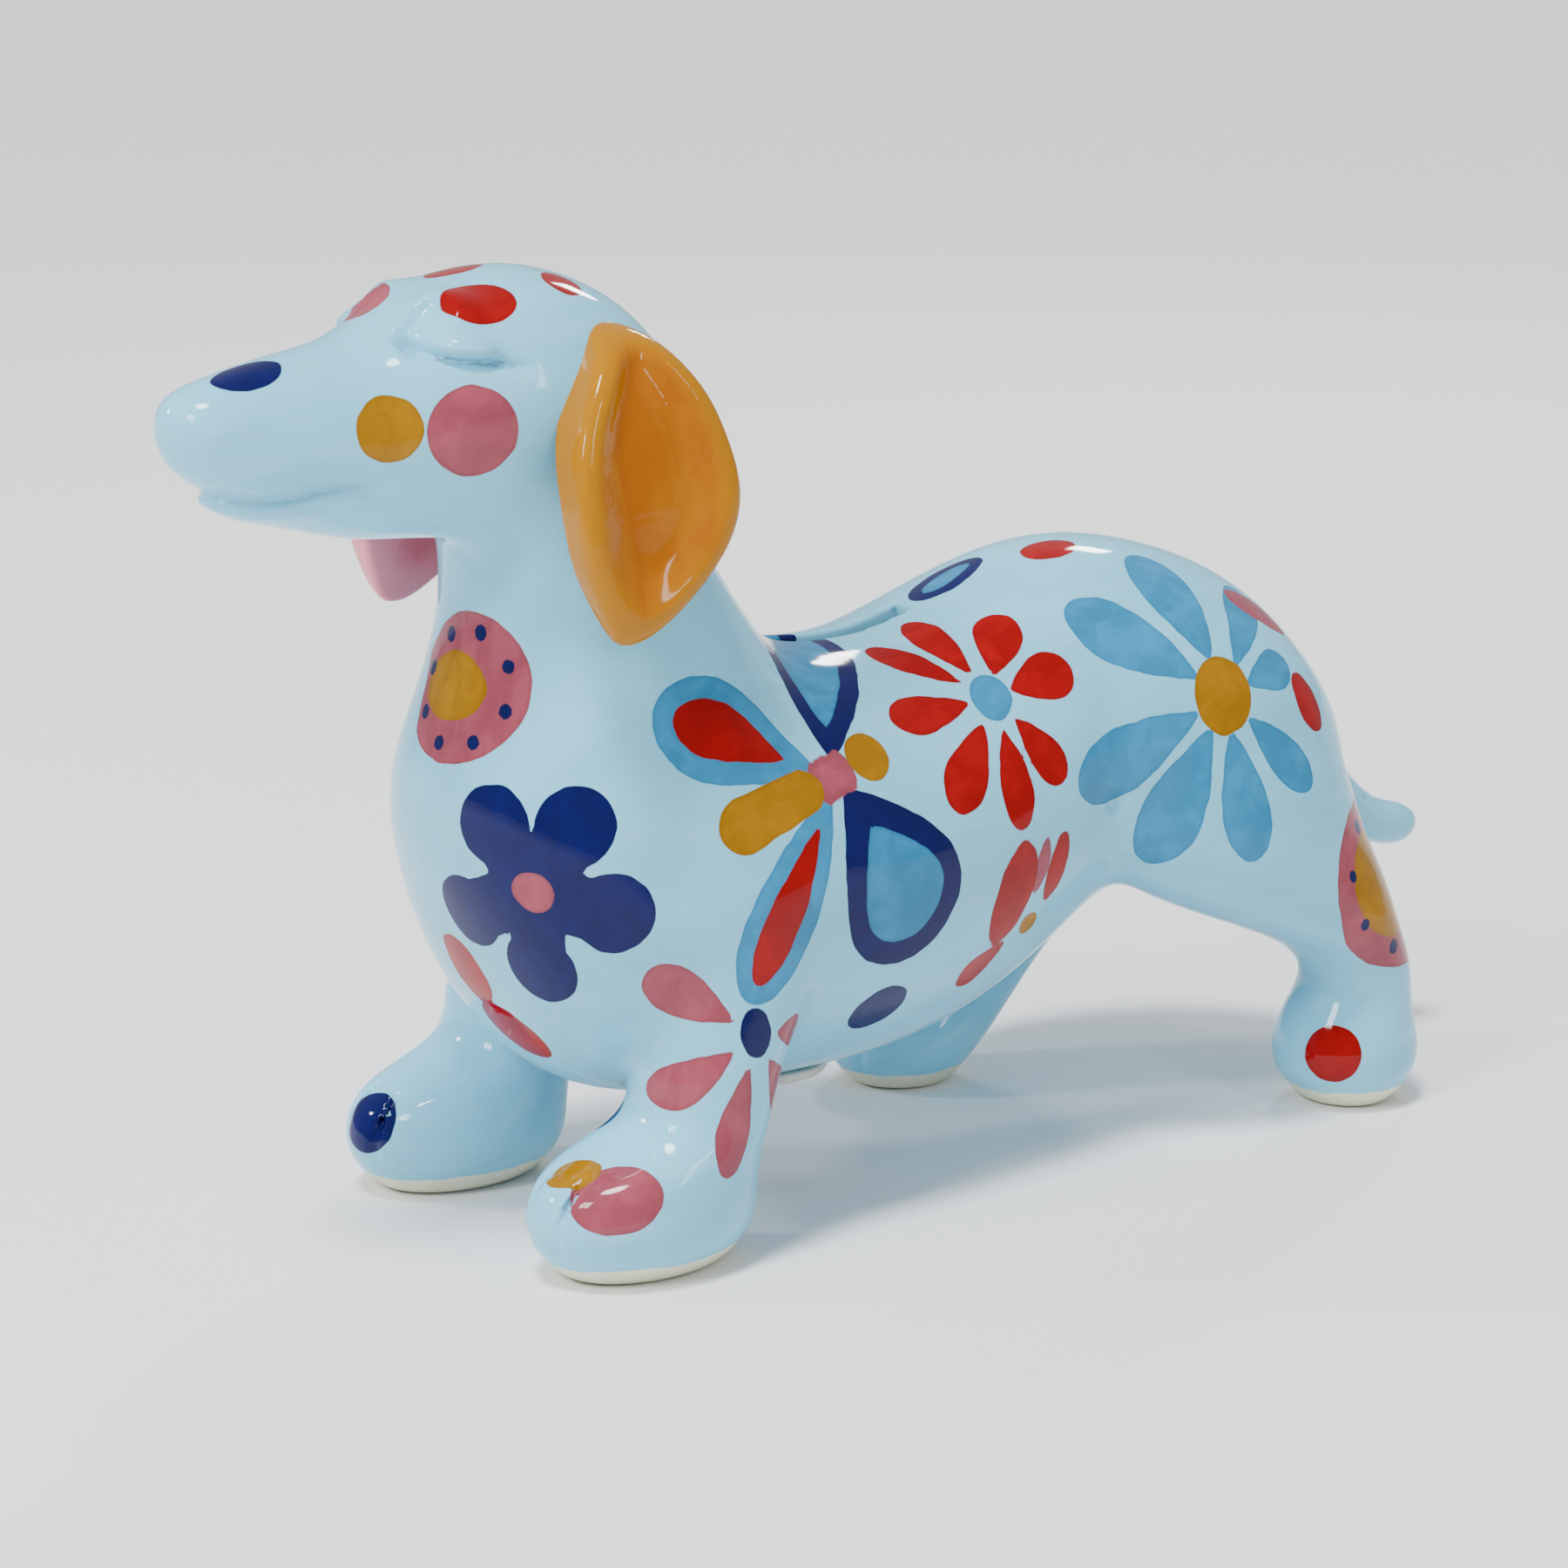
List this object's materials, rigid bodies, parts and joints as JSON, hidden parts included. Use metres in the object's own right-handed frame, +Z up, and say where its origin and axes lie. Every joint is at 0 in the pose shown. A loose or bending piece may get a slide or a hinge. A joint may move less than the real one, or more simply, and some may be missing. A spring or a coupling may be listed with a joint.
{
  "type": "ceramic dog money bank figurine",
  "caption": "Standing dachshund figurine, a hollow glazed ceramic money bank with a coin slot in its back and a rubber stopper under its belly.",
  "frame": {"origin": "on the surface it stands on, below the middle of its overall box", "axes": "+Z up, the dog faces -Y, +X is the dog's left"},
  "size_m": [0.0994, 0.31, 0.1878],
  "materials": {
    "body_glaze": "glossy hand painted glaze",
    "left_ear_glaze": "glossy hand painted glaze",
    "right_ear_glaze": "glossy hand painted glaze",
    "stopper_rubber": "matte"
  },
  "bodies": {
    "bank": {"torso_shell": "body_glaze", "head_shell": "body_glaze", "left_ear": "left_ear_glaze", "right_ear": "right_ear_glaze", "front_left_leg": "body_glaze", "front_right_leg": "body_glaze", "rear_left_leg": "body_glaze", "rear_right_leg": "body_glaze", "tail": "body_glaze"},
    "stopper": {"belly_stopper": "stopper_rubber"}
  },
  "joints": [
    {"name": "stopper_pull", "type": "slide", "parent": "bank", "child": "stopper", "axis": [0, 0, -1], "range_m": [0, 0.014]}
  ]
}
